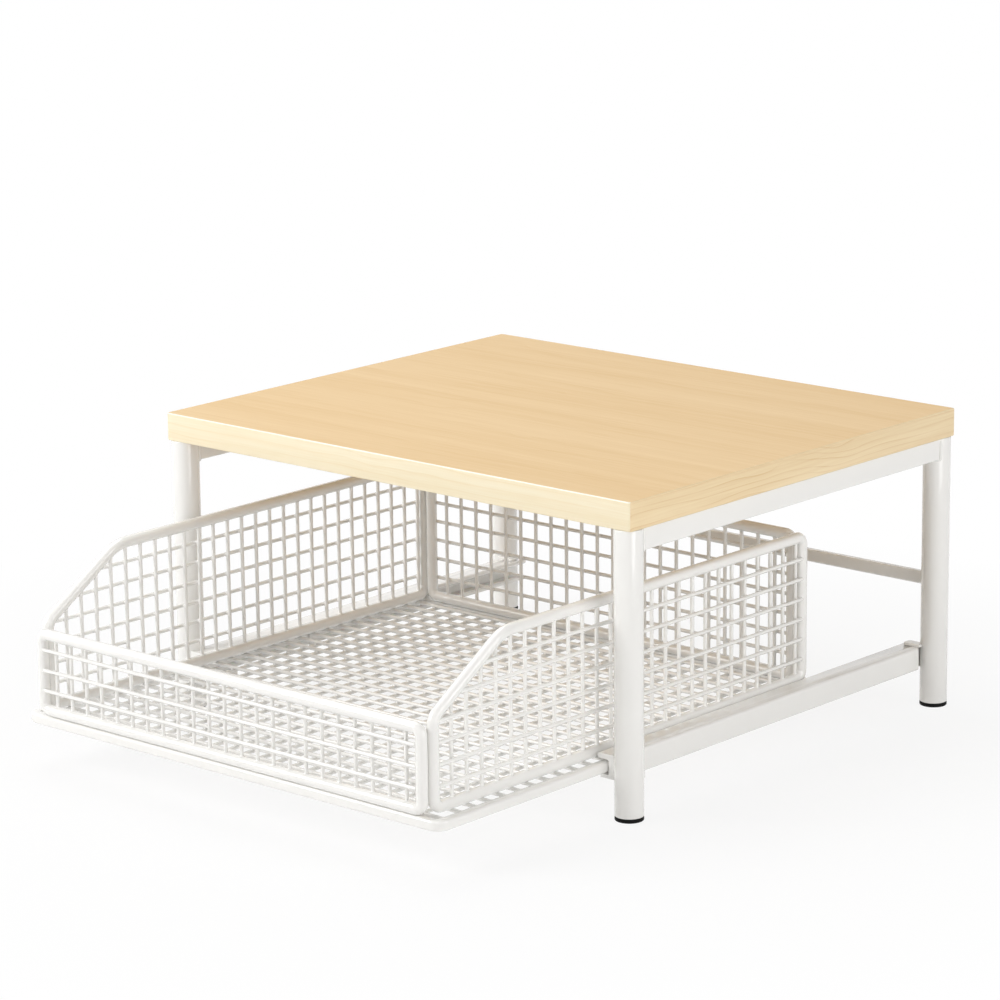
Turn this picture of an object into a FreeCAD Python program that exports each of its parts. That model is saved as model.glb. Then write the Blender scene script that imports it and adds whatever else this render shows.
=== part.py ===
import FreeCAD, Part
import math
import os

# Counter stand for a microwave, with a wire basket that pulls out on two side channels.
# Millimetres. +X is to the right, +Y to the back, +Z up, and the ground is Z = 0.
# Everything is worked out about the board's middle, then moved along Y as it is written,
# so that the origin lies on the ground under the middle of the whole object.
# The drawer is modelled pulled out, which is the joint's zero.

# Board
board_width = 540.0
board_depth = 456.0
board_thickness = 25.0
board_top = 275.0
board_corner_radius = 3.0
edge_band_thickness = 1.0

# Legs, feet and the two tubes under the board
leg_diameter = 25.0
leg_wall = 1.2
leg_proud = 1.0
foot_height = 3.6
foot_rim_inset = 0.1
foot_stem_length = 14.0
foot_stem_gap = 0.1
rail_width = 19.0
rail_height = 19.5
rail_wall = 1.2

# Bar between the rear legs
rear_bar_height = 12.0
rear_bar_depth = 6.0
rear_bar_wall = 1.0
rear_bar_bottom = 110.5
rear_bar_shift = 2.0
bumper_diameter = 10.0
bumper_thickness = 2.0
bumper_spacing = 200.0

# Fixing of the board
tab_length = 34.0
tab_width = 20.0
tab_thickness = 2.0
tab_from_leg = 70.0
screw_diameter = 4.0
screw_clearance = 0.25
thread_gap = 0.05
screw_length = 16.0
screw_head_diameter = 9.0
screw_head_height = 2.6

# Side channels
channel_bottom = 34.4
channel_overlap = 7.5
web_thickness = 9.9
lower_flange_thickness = 3.4
upper_flange_thickness = 4.8
channel_outer_radius = 2.2
channel_inner_radius = 1.2
channel_front_reach = 9.0
channel_notch_length = 16.5
saddle_length = 16.0
saddle_height = 14.0
tab_plate_width = 10.0
tab_plate_reach = 18.0
tab_plate_corner = 3.0
tab_plate_thickness = 2.4
tab_plate_edge = 1.1
weld_gap = 0.05
glide_thickness = 1.2
glide_end_setback = 6.0
glide_edge_setback = 0.6
stop_depth = 8.0
stop_drop = 7.0
stop_from_leg = 30.0
stop_past_catch = 2.5

# Drawer base
runner_gap = 0.3
base_side_gap = 1.1
base_top_gap = 2.0
base_width = 8.0
base_height = 9.5
base_wall = 1.2
base_outer_edge = 2.6
base_inner_edge = 0.8
base_corner_radius = 12.0
base_front = -433.4
base_rear_reach = 12.0
plug_thickness = 1.2
plug_stem_length = 10.0
plug_stem_gap = 0.1

# Basket
panel_side_gap = 4.65
lip_gap = 1.65
basket_depth = 501.5
basket_height = 138.4
front_height = 78.0
front_post_inset = 3.75
rod_diameter = 10.2
wire_diameter = 3.4
end_column_pitch = 18.6
side_column_pitch = 18.05
last_column_gap = 8.8
row_pitch = 18.2
first_row_height = 23.2
spacing_slack = 0.1
post_gap = 0.05
slope_start_height = 80.2
slope_end = 84.0
front_bend_radius = 14.0
slope_bend_radius = 40.0
rear_bend_radius = 7.0
foot_bend_radius = 8.0
small_bend_radius = 7.0
catch_thickness = 2.5
catch_length = 12.0
catch_drop = 4.0
catch_side_gap = 0.3
catch_travel = 100.0

# Smallest length that counts when edges are looked for
tolerance = 0.01

# Worked out from the sizes above
leg_radius = leg_diameter / 2
leg_x = board_width / 2 + leg_proud - leg_radius
leg_y = board_depth / 2 + leg_proud - leg_radius
frame_top = board_top - board_thickness
rail_bottom = frame_top - rail_height
rear_bar_y = leg_y + rear_bar_shift
rear_bar_front = rear_bar_y - rear_bar_depth / 2
screw_top = frame_top - tab_thickness + screw_length
stop_rear = -(leg_y - stop_from_leg)

channel_x = leg_x - leg_radius + channel_overlap
channel_floor = channel_bottom + lower_flange_thickness
glide_top = channel_floor + glide_thickness
base_bottom = glide_top + runner_gap
base_top = base_bottom + base_height
channel_top = base_top + base_top_gap + upper_flange_thickness
channel_front = -(leg_y + channel_front_reach)
channel_rear = leg_y
notch_front = channel_rear - channel_notch_length

base_x = channel_x - web_thickness - base_side_gap
base_inner_x = base_x - base_width
panel_x = base_inner_x - panel_side_gap
lip_x = panel_x + lip_gap
side_rod_x = panel_x - rod_diameter / 2
front_rod_x = side_rod_x - front_post_inset
rear_rod_x = side_rod_x - rod_diameter - post_gap
front_rod_y = base_front + base_width / 2
side_rod_y = front_rod_y + math.sqrt((rod_diameter + post_gap) ** 2 - front_post_inset ** 2)
basket_front = front_rod_y - rod_diameter / 2
basket_rear = basket_front + basket_depth
rear_rod_y = basket_rear - rod_diameter / 2
base_rear = basket_rear + base_rear_reach
lower_flange_x = base_inner_x + catch_side_gap
panel_bottom = base_top
cross_wire_z = panel_bottom - wire_diameter / 2
long_wire_z = cross_wire_z - wire_diameter

whole_front = min(base_front, basket_front)
whole_rear = max(board_depth / 2, leg_y + leg_radius)
origin_shift = -(whole_front + whole_rear) / 2


def vector(x, y, z):
    return FreeCAD.Vector(x, y, z)


def box(x0, x1, y0, y1, z0, z1):
    return Part.makeBox(x1 - x0, y1 - y0, z1 - z0, vector(x0, y0, z0))


def cylinder(start, end, diameter):
    along = end - start
    return Part.makeCylinder(diameter / 2, along.Length, start, along)


def box_tube(low, high, wall, along):
    """A rectangular tube between two corners, open at both ends of the along direction."""
    inset = (vector(1, 1, 1) - along) * wall
    inner_low = low + inset
    inner_high = high - inset
    outer = box(low.x, high.x, low.y, high.y, low.z, high.z)
    return outer.cut(box(inner_low.x, inner_high.x, inner_low.y, inner_high.y, inner_low.z, inner_high.z))


def corner_spots(x, y, z):
    """The same spot at each corner of the stand, with the corner's name."""
    names = {(-1, -1): "front_left", (1, -1): "front_right", (-1, 1): "rear_left", (1, 1): "rear_right"}
    return [(name, vector(side * x, end * y, z)) for (side, end), name in names.items()]


def mirrored(shape):
    """The same piece on the other side of the stand's middle plane."""
    return shape.mirror(vector(0, 0, 0), vector(1, 0, 0))


def even_places(start, end, pitch):
    """Places between start and end, one pitch apart, with equal margins."""
    count = max(1, int((end - start) / pitch + spacing_slack))
    first = (start + end) / 2 - (count - 1) * pitch / 2
    return [first + index * pitch for index in range(count)]


def stepped_places(start, end, pitch):
    """Places from start towards end, one pitch apart."""
    step = math.copysign(pitch, end - start)
    return [start + index * step for index in range(int((end - start) / step) + 1)]


def rounded_path(corners, radii, closed):
    """The edges of a path through the corners, with a tangent arc of the given radius at each bend."""
    count = len(corners)
    bends = []
    for index, corner in enumerate(corners):
        if not closed and index in (0, count - 1):
            bends.append((corner, None, corner))
            continue
        back = (corners[index - 1] - corner).normalize()
        ahead = (corners[(index + 1) % count] - corner).normalize()
        half_angle = back.getAngle(ahead) / 2
        reach = radii[index] / math.tan(half_angle)
        middle = (back + ahead).normalize()
        depth = radii[index] / math.sin(half_angle) - radii[index]
        bends.append((corner + back * reach, corner + middle * depth, corner + ahead * reach))
    edges = []
    for index in range(count):
        entry, apex, leave = bends[index]
        if apex is not None:
            edges.append(Part.Arc(entry, apex, leave).toShape())
        if closed or index < count - 1:
            following = bends[(index + 1) % count][0]
            edges.append(Part.makeLine(leave, following))
    return edges


def bent_rod(corners, radii, diameter):
    """A closed ring bent from round rod, made of straight runs and elbows."""
    pieces = []
    for edge in rounded_path(corners, radii, True):
        tangent = edge.tangentAt(edge.FirstParameter)
        profile = Part.Wire(Part.makeCircle(diameter / 2, edge.valueAt(edge.FirstParameter), tangent))
        pieces.append(Part.Wire(edge).makePipeShell([profile], True, False))
    return pieces[0].multiFuse(pieces[1:]).removeSplitter()


def board_outline(inset):
    """The board's outline, drawn in from its edge by the inset."""
    half_x = board_width / 2 - inset
    half_y = board_depth / 2 - inset
    corners = [
        vector(-half_x, -half_y, 0),
        vector(half_x, -half_y, 0),
        vector(half_x, half_y, 0),
        vector(-half_x, half_y, 0),
    ]
    radius = board_corner_radius - inset
    return Part.Face(Part.Wire(rounded_path(corners, [radius] * len(corners), True)))


def board():
    core = board_outline(edge_band_thickness).extrude(vector(0, 0, board_thickness))
    core.translate(vector(0, 0, frame_top))
    for _, spot in tab_spots():
        core = core.cut(cylinder(spot, vector(spot.x, spot.y, screw_top), screw_diameter + 2 * thread_gap))
    return core


def edge_band():
    ring = board_outline(0).cut(board_outline(edge_band_thickness))
    band = ring.extrude(vector(0, 0, board_thickness))
    band.translate(vector(0, 0, frame_top))
    return band


def leg_spots():
    return corner_spots(leg_x, leg_y, 0)


def leg_envelope(spot):
    """The space that a leg takes, used to shape what is welded to it."""
    return cylinder(spot, spot + vector(0, 0, frame_top), leg_diameter + 2 * weld_gap)


def leg(spot):
    bottom = spot + vector(0, 0, foot_height)
    top = spot + vector(0, 0, frame_top)
    return cylinder(bottom, top, leg_diameter).cut(cylinder(bottom, top, leg_diameter - 2 * leg_wall))


def foot(spot):
    pad = cylinder(spot, spot + vector(0, 0, foot_height), leg_diameter - 2 * foot_rim_inset)
    stem_diameter = leg_diameter - 2 * leg_wall - 2 * foot_stem_gap
    stem_top = spot + vector(0, 0, foot_height + foot_stem_length)
    return pad.fuse(cylinder(spot, stem_top, stem_diameter)).removeSplitter()


def top_rail():
    """Right-hand tube under the board, shaped at its ends to seat on the round legs."""
    tube = box_tube(vector(leg_x - rail_width / 2, -leg_y, rail_bottom),
                    vector(leg_x + rail_width / 2, leg_y, frame_top), rail_wall, vector(0, 1, 0))
    for end in (-1, 1):
        tube = tube.cut(leg_envelope(vector(leg_x, end * leg_y, 0)))
    return tube


def rear_bar():
    """Tube between the rear legs, which the basket meets when it is pushed in."""
    tube = box_tube(vector(-leg_x, rear_bar_front, rear_bar_bottom),
                    vector(leg_x, rear_bar_front + rear_bar_depth, rear_bar_bottom + rear_bar_height),
                    rear_bar_wall, vector(1, 0, 0))
    for side in (-1, 1):
        tube = tube.cut(leg_envelope(vector(side * leg_x, leg_y, 0)))
    return tube


def bumper(side):
    x = side * bumper_spacing / 2
    z = rear_bar_bottom + rear_bar_height / 2
    return cylinder(vector(x, rear_bar_front, z), vector(x, rear_bar_front - bumper_thickness, z),
                    bumper_diameter)


def tab_spots():
    """Middle of each screw that holds the board, on the inner side of a top rail."""
    return corner_spots(leg_x - rail_width / 2 - tab_width / 2, leg_y - tab_from_leg, frame_top)


def board_tab(spot):
    plate = box(spot.x - tab_width / 2, spot.x + tab_width / 2, spot.y - tab_length / 2,
                spot.y + tab_length / 2, frame_top - tab_thickness, frame_top)
    hole = cylinder(spot - vector(0, 0, tab_thickness), spot, screw_diameter + 2 * screw_clearance)
    return plate.cut(hole)


def board_screw(spot):
    seat = spot - vector(0, 0, tab_thickness)
    bottom = seat - vector(0, 0, screw_head_height)
    head = cylinder(bottom, seat, screw_head_diameter)
    shank = cylinder(bottom, vector(spot.x, spot.y, screw_top), screw_diameter)
    return head.fuse(shank).removeSplitter()


def channel():
    """Right-hand channel, open towards the drawer, with a thick rounded upper lip.

    It is shaped round the front leg, where it is welded to it. A notch in its outer side lets
    its rear end run on beside the rear leg. Its lower flange, web and upper flange are separate
    solids that meet face to face.
    """
    web_x = channel_x - web_thickness
    nose = upper_flange_thickness / 2
    flange_bottom = channel_top - upper_flange_thickness
    lower_x = lower_flange_x
    outer_r = channel_outer_radius
    inner_r = channel_inner_radius
    turn = math.sqrt(0.5)

    def point(x, z):
        return vector(x, channel_front, z)

    def corner_arc(centre_x, centre_z, radius, start, middle, end):
        ends = [point(centre_x + radius * dx, centre_z + radius * dz) for dx, dz in (start, middle, end)]
        return Part.Arc(*ends).toShape()

    edges = [
        corner_arc(channel_x - outer_r, channel_top - outer_r, outer_r, (1, 0), (turn, turn), (0, 1)),
        Part.makeLine(point(channel_x - outer_r, channel_top), point(lip_x + nose, channel_top)),
        corner_arc(lip_x + nose, channel_top - nose, nose, (0, 1), (-1, 0), (0, -1)),
        Part.makeLine(point(lip_x + nose, flange_bottom), point(web_x - inner_r, flange_bottom)),
        corner_arc(web_x - inner_r, flange_bottom - inner_r, inner_r, (0, 1), (turn, turn), (1, 0)),
        Part.makeLine(point(web_x, flange_bottom - inner_r), point(web_x, channel_floor)),
        Part.makeLine(point(web_x, channel_floor), point(lower_x, channel_floor)),
        Part.makeLine(point(lower_x, channel_floor), point(lower_x, channel_bottom)),
        Part.makeLine(point(lower_x, channel_bottom), point(channel_x - outer_r, channel_bottom)),
        corner_arc(channel_x - outer_r, channel_bottom + outer_r, outer_r, (0, -1), (turn, -turn), (1, 0)),
        Part.makeLine(point(channel_x, channel_bottom + outer_r), point(channel_x, channel_top - outer_r)),
    ]
    profile = Part.Face(Part.Wire(edges)).extrude(vector(0, channel_rear - channel_front, 0))
    for end in (-1, 1):
        profile = profile.cut(leg_envelope(vector(leg_x, end * leg_y, 0)))
    profile = profile.cut(box(leg_x - leg_radius, channel_x, notch_front, channel_rear,
                              channel_bottom, channel_top))
    heights = [channel_bottom, channel_floor, flange_bottom - inner_r, channel_top]
    layers = []
    for low, high in zip(heights, heights[1:]):
        layer = box(min(lip_x, lower_x), channel_x, channel_front, channel_rear, low, high)
        layers += profile.common(layer).Solids
    return Part.makeCompound(layers)


def channel_saddle():
    """Weld between the right-hand channel's web and the front leg, behind the line where they touch."""
    middle_z = (channel_bottom + channel_top) / 2
    block = box(channel_x, leg_x, -leg_y, -leg_y + saddle_length,
                middle_z - saddle_height / 2, middle_z + saddle_height / 2)
    return block.cut(leg_envelope(vector(leg_x, -leg_y, 0)))


def channel_tab():
    """Round-cornered plate that ties the right-hand channel to the rear leg, above the notch."""
    inner_x = channel_x - tab_plate_reach
    plate_top = channel_top + tab_plate_thickness
    plate = box(inner_x, channel_x, notch_front, notch_front + tab_plate_width, channel_top, plate_top)
    plate = plate.cut(leg_envelope(vector(leg_x, leg_y, 0)))
    corners = [edge for edge in plate.Edges if edge.BoundBox.XMax < inner_x + tolerance
               and edge.BoundBox.YLength < tolerance]
    plate = plate.makeFillet(tab_plate_corner, corners)
    rim = [edge for edge in plate.Edges
           if edge.BoundBox.ZMin > plate_top - tolerance and edge.CenterOfMass.x < leg_x - leg_radius]
    return plate.makeFillet(tab_plate_edge, rim)


def glide_strip():
    return box(lower_flange_x, channel_x - web_thickness - glide_edge_setback,
               channel_front + glide_end_setback, channel_rear - glide_end_setback,
               channel_floor, glide_top)


def stop_block():
    """Block under the right-hand channel's front end, which the drawer's catch meets."""
    return box(base_inner_x - catch_thickness - stop_past_catch, channel_x - channel_outer_radius,
               stop_rear - stop_depth, stop_rear, channel_bottom - stop_drop, channel_bottom)


def base_curve(side_x, front_y, radius):
    """A line along one side of the drawer's base, round the front and back along the other side."""
    corners = [vector(-side_x, base_rear, 0), vector(-side_x, front_y, 0),
               vector(side_x, front_y, 0), vector(side_x, base_rear, 0)]
    return rounded_path(corners, [0, radius, radius, 0], False)


def base_curves(inset):
    """The base tube's outer and inner faces seen from above, drawn into the metal by the inset."""
    outer = base_curve(base_x - inset, base_front + inset, base_corner_radius - inset)
    inner = base_curve(base_inner_x + inset, base_front + base_width - inset,
                       base_corner_radius - base_width + inset)
    return outer, inner


def base_bar(inset):
    """The space inside the base tube's faces, drawn in by the inset and open at the rear."""
    outer, inner = base_curves(inset)
    ends = [Part.makeLine(vector(side * (base_x - inset), base_rear, 0),
                          vector(side * (base_inner_x + inset), base_rear, 0)) for side in (-1, 1)]
    outline = Part.Wire(Part.__sortEdges__(outer + inner + ends))
    bar = Part.Face(outline).extrude(vector(0, 0, base_height - 2 * inset))
    bar.translate(vector(0, 0, base_bottom + inset))
    return bar


def round_rim(bar, curve, radius):
    """Rounds the bar's top and bottom edges that lie along the curve."""
    line = Part.Wire(curve)
    rim = []
    for edge in bar.Edges:
        middle = edge.valueAt((edge.FirstParameter + edge.LastParameter) / 2)
        aside = line.distToShape(Part.Vertex(middle.x, middle.y, 0))[0]
        if edge.BoundBox.ZLength < tolerance and aside < tolerance:
            rim.append(edge)
    return bar.makeFillet(radius, rim)


def base_tube():
    """The drawer's bent base tube: two runners joined by a front with rounded corners."""
    outer, inner = base_curves(0)
    bar = round_rim(base_bar(0), outer, base_outer_edge)
    bar = round_rim(bar, inner, base_inner_edge)
    return bar.cut(base_bar(base_wall))


def base_rear_bar():
    return box_tube(vector(-base_inner_x, base_rear - base_width, base_bottom),
                    vector(base_inner_x, base_rear, base_top), base_wall, vector(1, 0, 0))


def end_plug():
    """Plug in the open rear end of the right-hand runner."""
    head = box(base_inner_x, base_x, base_rear, base_rear + plug_thickness, base_bottom, base_top)
    inset = base_wall + plug_stem_gap
    stem = box(base_inner_x + inset, base_x - inset, base_rear - plug_stem_length, base_rear,
               base_bottom + inset, base_top - inset)
    return head.fuse(stem)


def end_columns(rod_x):
    """Upright wires of a panel whose end posts are at rod_x to either side."""
    reach = rod_x - rod_diameter / 2
    return even_places(-reach, reach, end_column_pitch)


def side_columns():
    """Upright wires of a side panel, counted forward from its rear post."""
    return stepped_places(rear_rod_y - last_column_gap, side_rod_y + rod_diameter / 2, side_column_pitch)


def panel_rows(high):
    """Level wires of a panel whose top rod's centre is at the height high."""
    return stepped_places(panel_bottom + first_row_height, high - rod_diameter / 2, row_pitch)


def long_wires():
    """Floor wires from front to back, in line with the front panel's upright wires."""
    start = base_front + base_width
    end = base_rear - base_width
    return Part.makeCompound([cylinder(vector(x, start, long_wire_z), vector(x, end, long_wire_z),
                                       wire_diameter) for x in end_columns(front_rod_x)])


def cross_wire_places():
    """Crosswise floor wires, in line with the side panels' posts and upright wires."""
    return [side_rod_y] + sorted(side_columns()) + [rear_rod_y]


def cross_wires():
    return Part.makeCompound([cylinder(vector(-base_inner_x, y, cross_wire_z),
                                       vector(base_inner_x, y, cross_wire_z), wire_diameter)
                              for y in cross_wire_places()])


def wire_panel(corners, radii, along, outward, columns, rows):
    """A bent rod frame filled with a welded grid: columns in its plane, rows on its outside.

    corners are the frame's centre line, along is the panel's level direction and outward
    points out of the basket.
    """
    frame = bent_rod(corners, radii, rod_diameter)
    inside = Part.Face(Part.Wire(rounded_path(corners, radii, True)))
    depth = outward * rod_diameter
    region = inside.extrude(depth * 2)
    region.translate(depth * -1)
    origin = corners[0]
    low = min(corner.z for corner in corners)
    high = max(corner.z for corner in corners)
    reach = max((corner - origin).dot(along) for corner in corners)
    wires = []
    for place in columns:
        foot_point = origin + along * place
        foot_point.z = low
        wires.append(cylinder(foot_point, foot_point + vector(0, 0, high - low), wire_diameter))
    for height in rows:
        start = origin + outward * wire_diameter
        start.z = height
        wires.append(cylinder(start, start + along * reach, wire_diameter))
    trimmed = [wire.common(region).cut(frame) for wire in wires]
    solids = [max(wire.Solids, key=lambda solid: solid.Volume) for wire in trimmed]
    return Part.makeCompound([frame] + solids)


def end_panel(x, y, height, outward, bend_radius):
    """Front or rear panel, with its end posts at x to either side."""
    low = panel_bottom + rod_diameter / 2
    high = panel_bottom + height - rod_diameter / 2
    corners = [vector(-x, y, low), vector(x, y, low), vector(x, y, high), vector(-x, y, high)]
    radii = [small_bend_radius, small_bend_radius, bend_radius, bend_radius]
    columns = [place + x for place in end_columns(x)]
    return wire_panel(corners, radii, vector(1, 0, 0), vector(0, outward, 0), columns, panel_rows(high))


def side_panel():
    """Right-hand panel: low at the front, rising on a slope to the basket's full height."""
    low = panel_bottom + rod_diameter / 2
    high = panel_bottom + basket_height - rod_diameter / 2
    corners = [vector(side_rod_x, side_rod_y, low), vector(side_rod_x, rear_rod_y, low),
               vector(side_rod_x, rear_rod_y, high), vector(side_rod_x, side_rod_y + slope_end, high),
               vector(side_rod_x, side_rod_y, panel_bottom + slope_start_height)]
    radii = [foot_bend_radius, foot_bend_radius, rear_bend_radius, slope_bend_radius, front_bend_radius]
    columns = [place - side_rod_y for place in side_columns()]
    return wire_panel(corners, radii, vector(0, 1, 0), vector(1, 0, 0), columns, panel_rows(high))


def catch_front():
    """Front face of the catch, set in the gap between two crosswise floor wires."""
    wanted = stop_rear + catch_travel + catch_length / 2
    places = cross_wire_places()
    gaps = [(first + second) / 2 for first, second in zip(places, places[1:])]
    return min(gaps, key=lambda gap: abs(gap - wanted)) - catch_length / 2


def drawer_catch():
    """Plate on the inside of the right-hand runner that stops the drawer coming right out."""
    front = catch_front()
    return box(base_inner_x - catch_thickness, base_inner_x, front, front + catch_length,
               channel_bottom - catch_drop, base_top - base_outer_edge)


def write(name, shape):
    shape.translated(vector(0, origin_shift, 0)).exportStep(os.path.join("parts", name + ".step"))


def write_pair(name, right_shape):
    write(name + "_right", right_shape)
    write(name + "_left", mirrored(right_shape))


def main():
    os.makedirs("parts", exist_ok=True)
    write("board", board())
    write("edge_band", edge_band())
    for name, spot in leg_spots():
        write("leg_" + name, leg(spot))
        write("foot_" + name, foot(spot))
    write_pair("top_rail", top_rail())
    write("rear_bar", rear_bar())
    for name, side in (("left", -1), ("right", 1)):
        write("bumper_" + name, bumper(side))
    for name, spot in tab_spots():
        write("board_tab_" + name, board_tab(spot))
        write("board_screw_" + name, board_screw(spot))
    write_pair("channel", channel())
    write_pair("channel_saddle", channel_saddle())
    write_pair("channel_tab", channel_tab())
    write_pair("glide_strip", glide_strip())
    write_pair("stop_block", stop_block())
    write("base_tube", base_tube())
    write("base_rear_bar", base_rear_bar())
    write_pair("end_plug", end_plug())
    write("floor_long_wires", long_wires())
    write("floor_cross_wires", cross_wires())
    write("front_panel", end_panel(front_rod_x, front_rod_y, front_height, -1, small_bend_radius))
    write("rear_panel", end_panel(rear_rod_x, rear_rod_y, basket_height, 1, rear_bend_radius))
    write_pair("side_panel", side_panel())
    write_pair("drawer_catch", drawer_catch())
    closing_travel = rear_bar_front - bumper_thickness - basket_rear
    opening_travel = catch_front() - stop_rear
    print("closing travel", round(closing_travel, 2), "mm, opening travel", round(opening_travel, 2), "mm")
    print("origin shift", round(origin_shift, 2), "mm")


main()
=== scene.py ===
import math
from contextlib import contextmanager
from functools import partial

import bmesh
import bpy
from bpy.props import FloatProperty, FloatVectorProperty, IntProperty, PointerProperty
from mathutils import Matrix, Vector


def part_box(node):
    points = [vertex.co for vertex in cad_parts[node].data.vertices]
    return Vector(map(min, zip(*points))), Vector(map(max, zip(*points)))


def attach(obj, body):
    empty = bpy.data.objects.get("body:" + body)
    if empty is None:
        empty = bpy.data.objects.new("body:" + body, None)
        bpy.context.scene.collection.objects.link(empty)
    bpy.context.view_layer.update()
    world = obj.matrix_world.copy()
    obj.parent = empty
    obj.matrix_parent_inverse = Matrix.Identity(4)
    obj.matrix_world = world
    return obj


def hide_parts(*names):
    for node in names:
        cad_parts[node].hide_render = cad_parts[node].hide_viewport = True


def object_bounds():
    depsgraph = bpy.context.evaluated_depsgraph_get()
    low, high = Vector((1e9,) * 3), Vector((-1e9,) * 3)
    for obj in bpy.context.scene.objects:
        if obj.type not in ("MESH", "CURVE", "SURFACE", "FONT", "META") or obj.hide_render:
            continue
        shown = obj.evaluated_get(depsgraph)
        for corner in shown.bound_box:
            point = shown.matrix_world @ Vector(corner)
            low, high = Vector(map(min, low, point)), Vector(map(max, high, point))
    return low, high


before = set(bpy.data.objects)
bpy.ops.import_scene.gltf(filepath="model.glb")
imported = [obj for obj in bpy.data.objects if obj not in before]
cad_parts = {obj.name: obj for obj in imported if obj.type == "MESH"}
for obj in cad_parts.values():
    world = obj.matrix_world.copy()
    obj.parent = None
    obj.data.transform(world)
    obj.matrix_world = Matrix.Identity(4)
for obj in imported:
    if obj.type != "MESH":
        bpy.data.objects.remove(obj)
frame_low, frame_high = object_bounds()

bl_info = {
    "name": "Microwave stand with drawer",
    "version": (1, 0, 0),
    "blender": (4, 5, 0),
    "location": "3D View > Sidebar > Stand",
    "description": "Dresses a counter stand and its wire basket drawer with modelled pieces and finishes",
    "category": "Object",
}

SIDES = ("left", "right")
CORNERS = ("front_left", "front_right", "rear_left", "rear_right")
X_AXIS = Vector((1, 0, 0))
Y_AXIS = Vector((0, 1, 0))
Z_AXIS = Vector((0, 0, 1))
NEAR = 0.00002
SHARP_ANGLE = math.radians(35)
MERGE_ANGLE = math.radians(1)

# How much of a flat face's normal, the normal of a face that gets the painted highlight and an edge's
# direction is along an axis
FLAT = 0.99
HIGHLIGHT_TILT = 0.1
STRAIGHT = 0.999

# Shares of the thickness, radius or height that they shape
NOSE_SHARE = 0.49
INNER_FOLD_SHARE = 0.8
BUMPER_DOME_SHARE = 0.8
WIRE_END_SHARE = 0.85
WELD_END_SHARE = 0.45
RAIL_WELD_START = 1.2
RAIL_WELD_TURN = 0.3
BAR_WELD_SHARE = 0.8
BAR_WELD_INSET = 0.99
FLOOR_SPOT_SHARE = 0.8
FLOOR_END_SPOT_SHARE = 0.7
POST_SPOT_SHARE = 0.8
SIDE_FACE_SHARE = 0.3
PITCH_SLACK = 0.1

# Facets
CUTTER_SIDES = 96
BUMPER_SIDES = 40
TAB_HOLE_SIDES = 32
SCREW_HEAD_SIDES = 48
SCREW_SHANK_SIDES = 24
RAIL_WELD_STEPS = 5
BAR_WELD_STEPS = 24
BASE_BEND_STEPS = 16

# Lengths in metres, unless the name says otherwise
FOOT_RINGS = ((0.0022, 0.0008), (0.0018, -0.0008), (0.0020, 0.0008))  # width and depth of each
FOOT_RING_SLOPE = 0.0003
TAB_CORNER = 0.004
TAB_HOLE_RADIUS = 0.00225
CUT_MARGIN = 0.001
SCREW_CROWN = 0.0017
SCREW_RECESS = (Vector((0.0023, 0.0005, 0.0014)), Vector((0.0005, 0.0023, 0.0014)))
SCREW_SHANK_RADIUS = 0.0019
PLUG_ARRIS = 0.0005
CATCH_CORNER = 0.003
CATCH_ARRIS = 0.0003
FLOOR_WIDTH = 40
SENSOR_MILLIMETRES = 36.0
VIEW_LIMIT = 100.0
LAMINATE_RELIEF = 0.00004

# The sky darkens between these: 0 is straight to the side of the object and 1 is straight behind it
SKY_FADE = (0.1, 0.9)

# Each lamp's place and size. Its power is a stage setting.
LAMPS = {
    "key": ((-1.66, -2.38, 1.9), 1.6),
    "fill": ((2.7, 0.45, 1.2), 1.2),
    "top": ((-0.9, 0.2, 2.4), 1.6),
    "low": ((2.6, -0.6, 0.6), 1.2),
    "front": ((1.8, -2.4, 1.3), 1.6),
}

# The materials of each slot
FINISHES = {
    "board_top": ("maple_laminate",),
    # The band's third material is a painted highlight on its rounded upper arrises.
    "board_edge": ("maple_band_long", "maple_band_short", "maple_band_trim"),
    "white_paint": ("powder_coat",),
    "feet": ("black_plastic",),
    "bumpers": ("clear_bumper",),
    "screws": ("zinc_plate",),
    "glides": ("natural_nylon",),
}

# Each sprayed or moulded finish: its colour, roughness, grain size, variation, relief and shader inputs
SKINS = {
    "powder_coat": ("coat", 0.24, 0.0011, 0.03, 0.00002, {"Coat Weight": 0.8, "Coat Roughness": 0.06}),
    "natural_nylon": ("glide", 0.42, 0.0006, 0.06, 0.00003,
                      {"Subsurface Weight": 0.25, "Subsurface Scale": 0.002}),
    "black_plastic": ("foot", 0.6, 0.0005, 0.3, 0.00005, {"Specular IOR Level": 0.12}),
    "clear_bumper": ("bumper", 0.18, 0.0016, 0.03, 0.00002, {"Transmission Weight": 0.7, "IOR": 1.45}),
    "zinc_plate": ("zinc", 0.34, 0.0004, 0.10, 0.00003, {"Metallic": 1.0}),
}

# Each wood: its light and dark colours, the turn of its grain, its coat weight and its grain values
GRAIN_VALUES = ("Line Count", "Waviness", "Line Strength", "Line Sharpness", "Streak Strength")
WOODS = {
    "maple_laminate": ("top_light", "top_dark", 0.0, 0.08, (24.0, 2.2, 0.22, 5.0, 0.5)),
    "maple_band_long": ("band_light", "band_dark", 0.0, 0.4, (130.0, 3.2, 0.9, 9.0, 0.6)),
    "maple_band_short": ("side_light", "side_dark", -math.pi / 2, 0.4, (170.0, 7.0, 0.9, 9.0, 0.4)),
    # The arris material is a painted highlight: pale colours on the rounded upper arrises of the front
    # and rear bands, in place of the lamp's reflection there.
    "maple_band_trim": ("band_trim", "band_light", 0.0, 0.4, (130.0, 3.2, 0.2, 9.0, 0.2)),
}


def number(name, description, default, **kind):
    return FloatProperty(name=name, description=description, default=default, **kind)


def length(name, description, default):
    return number(name, description, default, min=0.0, precision=5, unit="LENGTH", subtype="DISTANCE")


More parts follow.
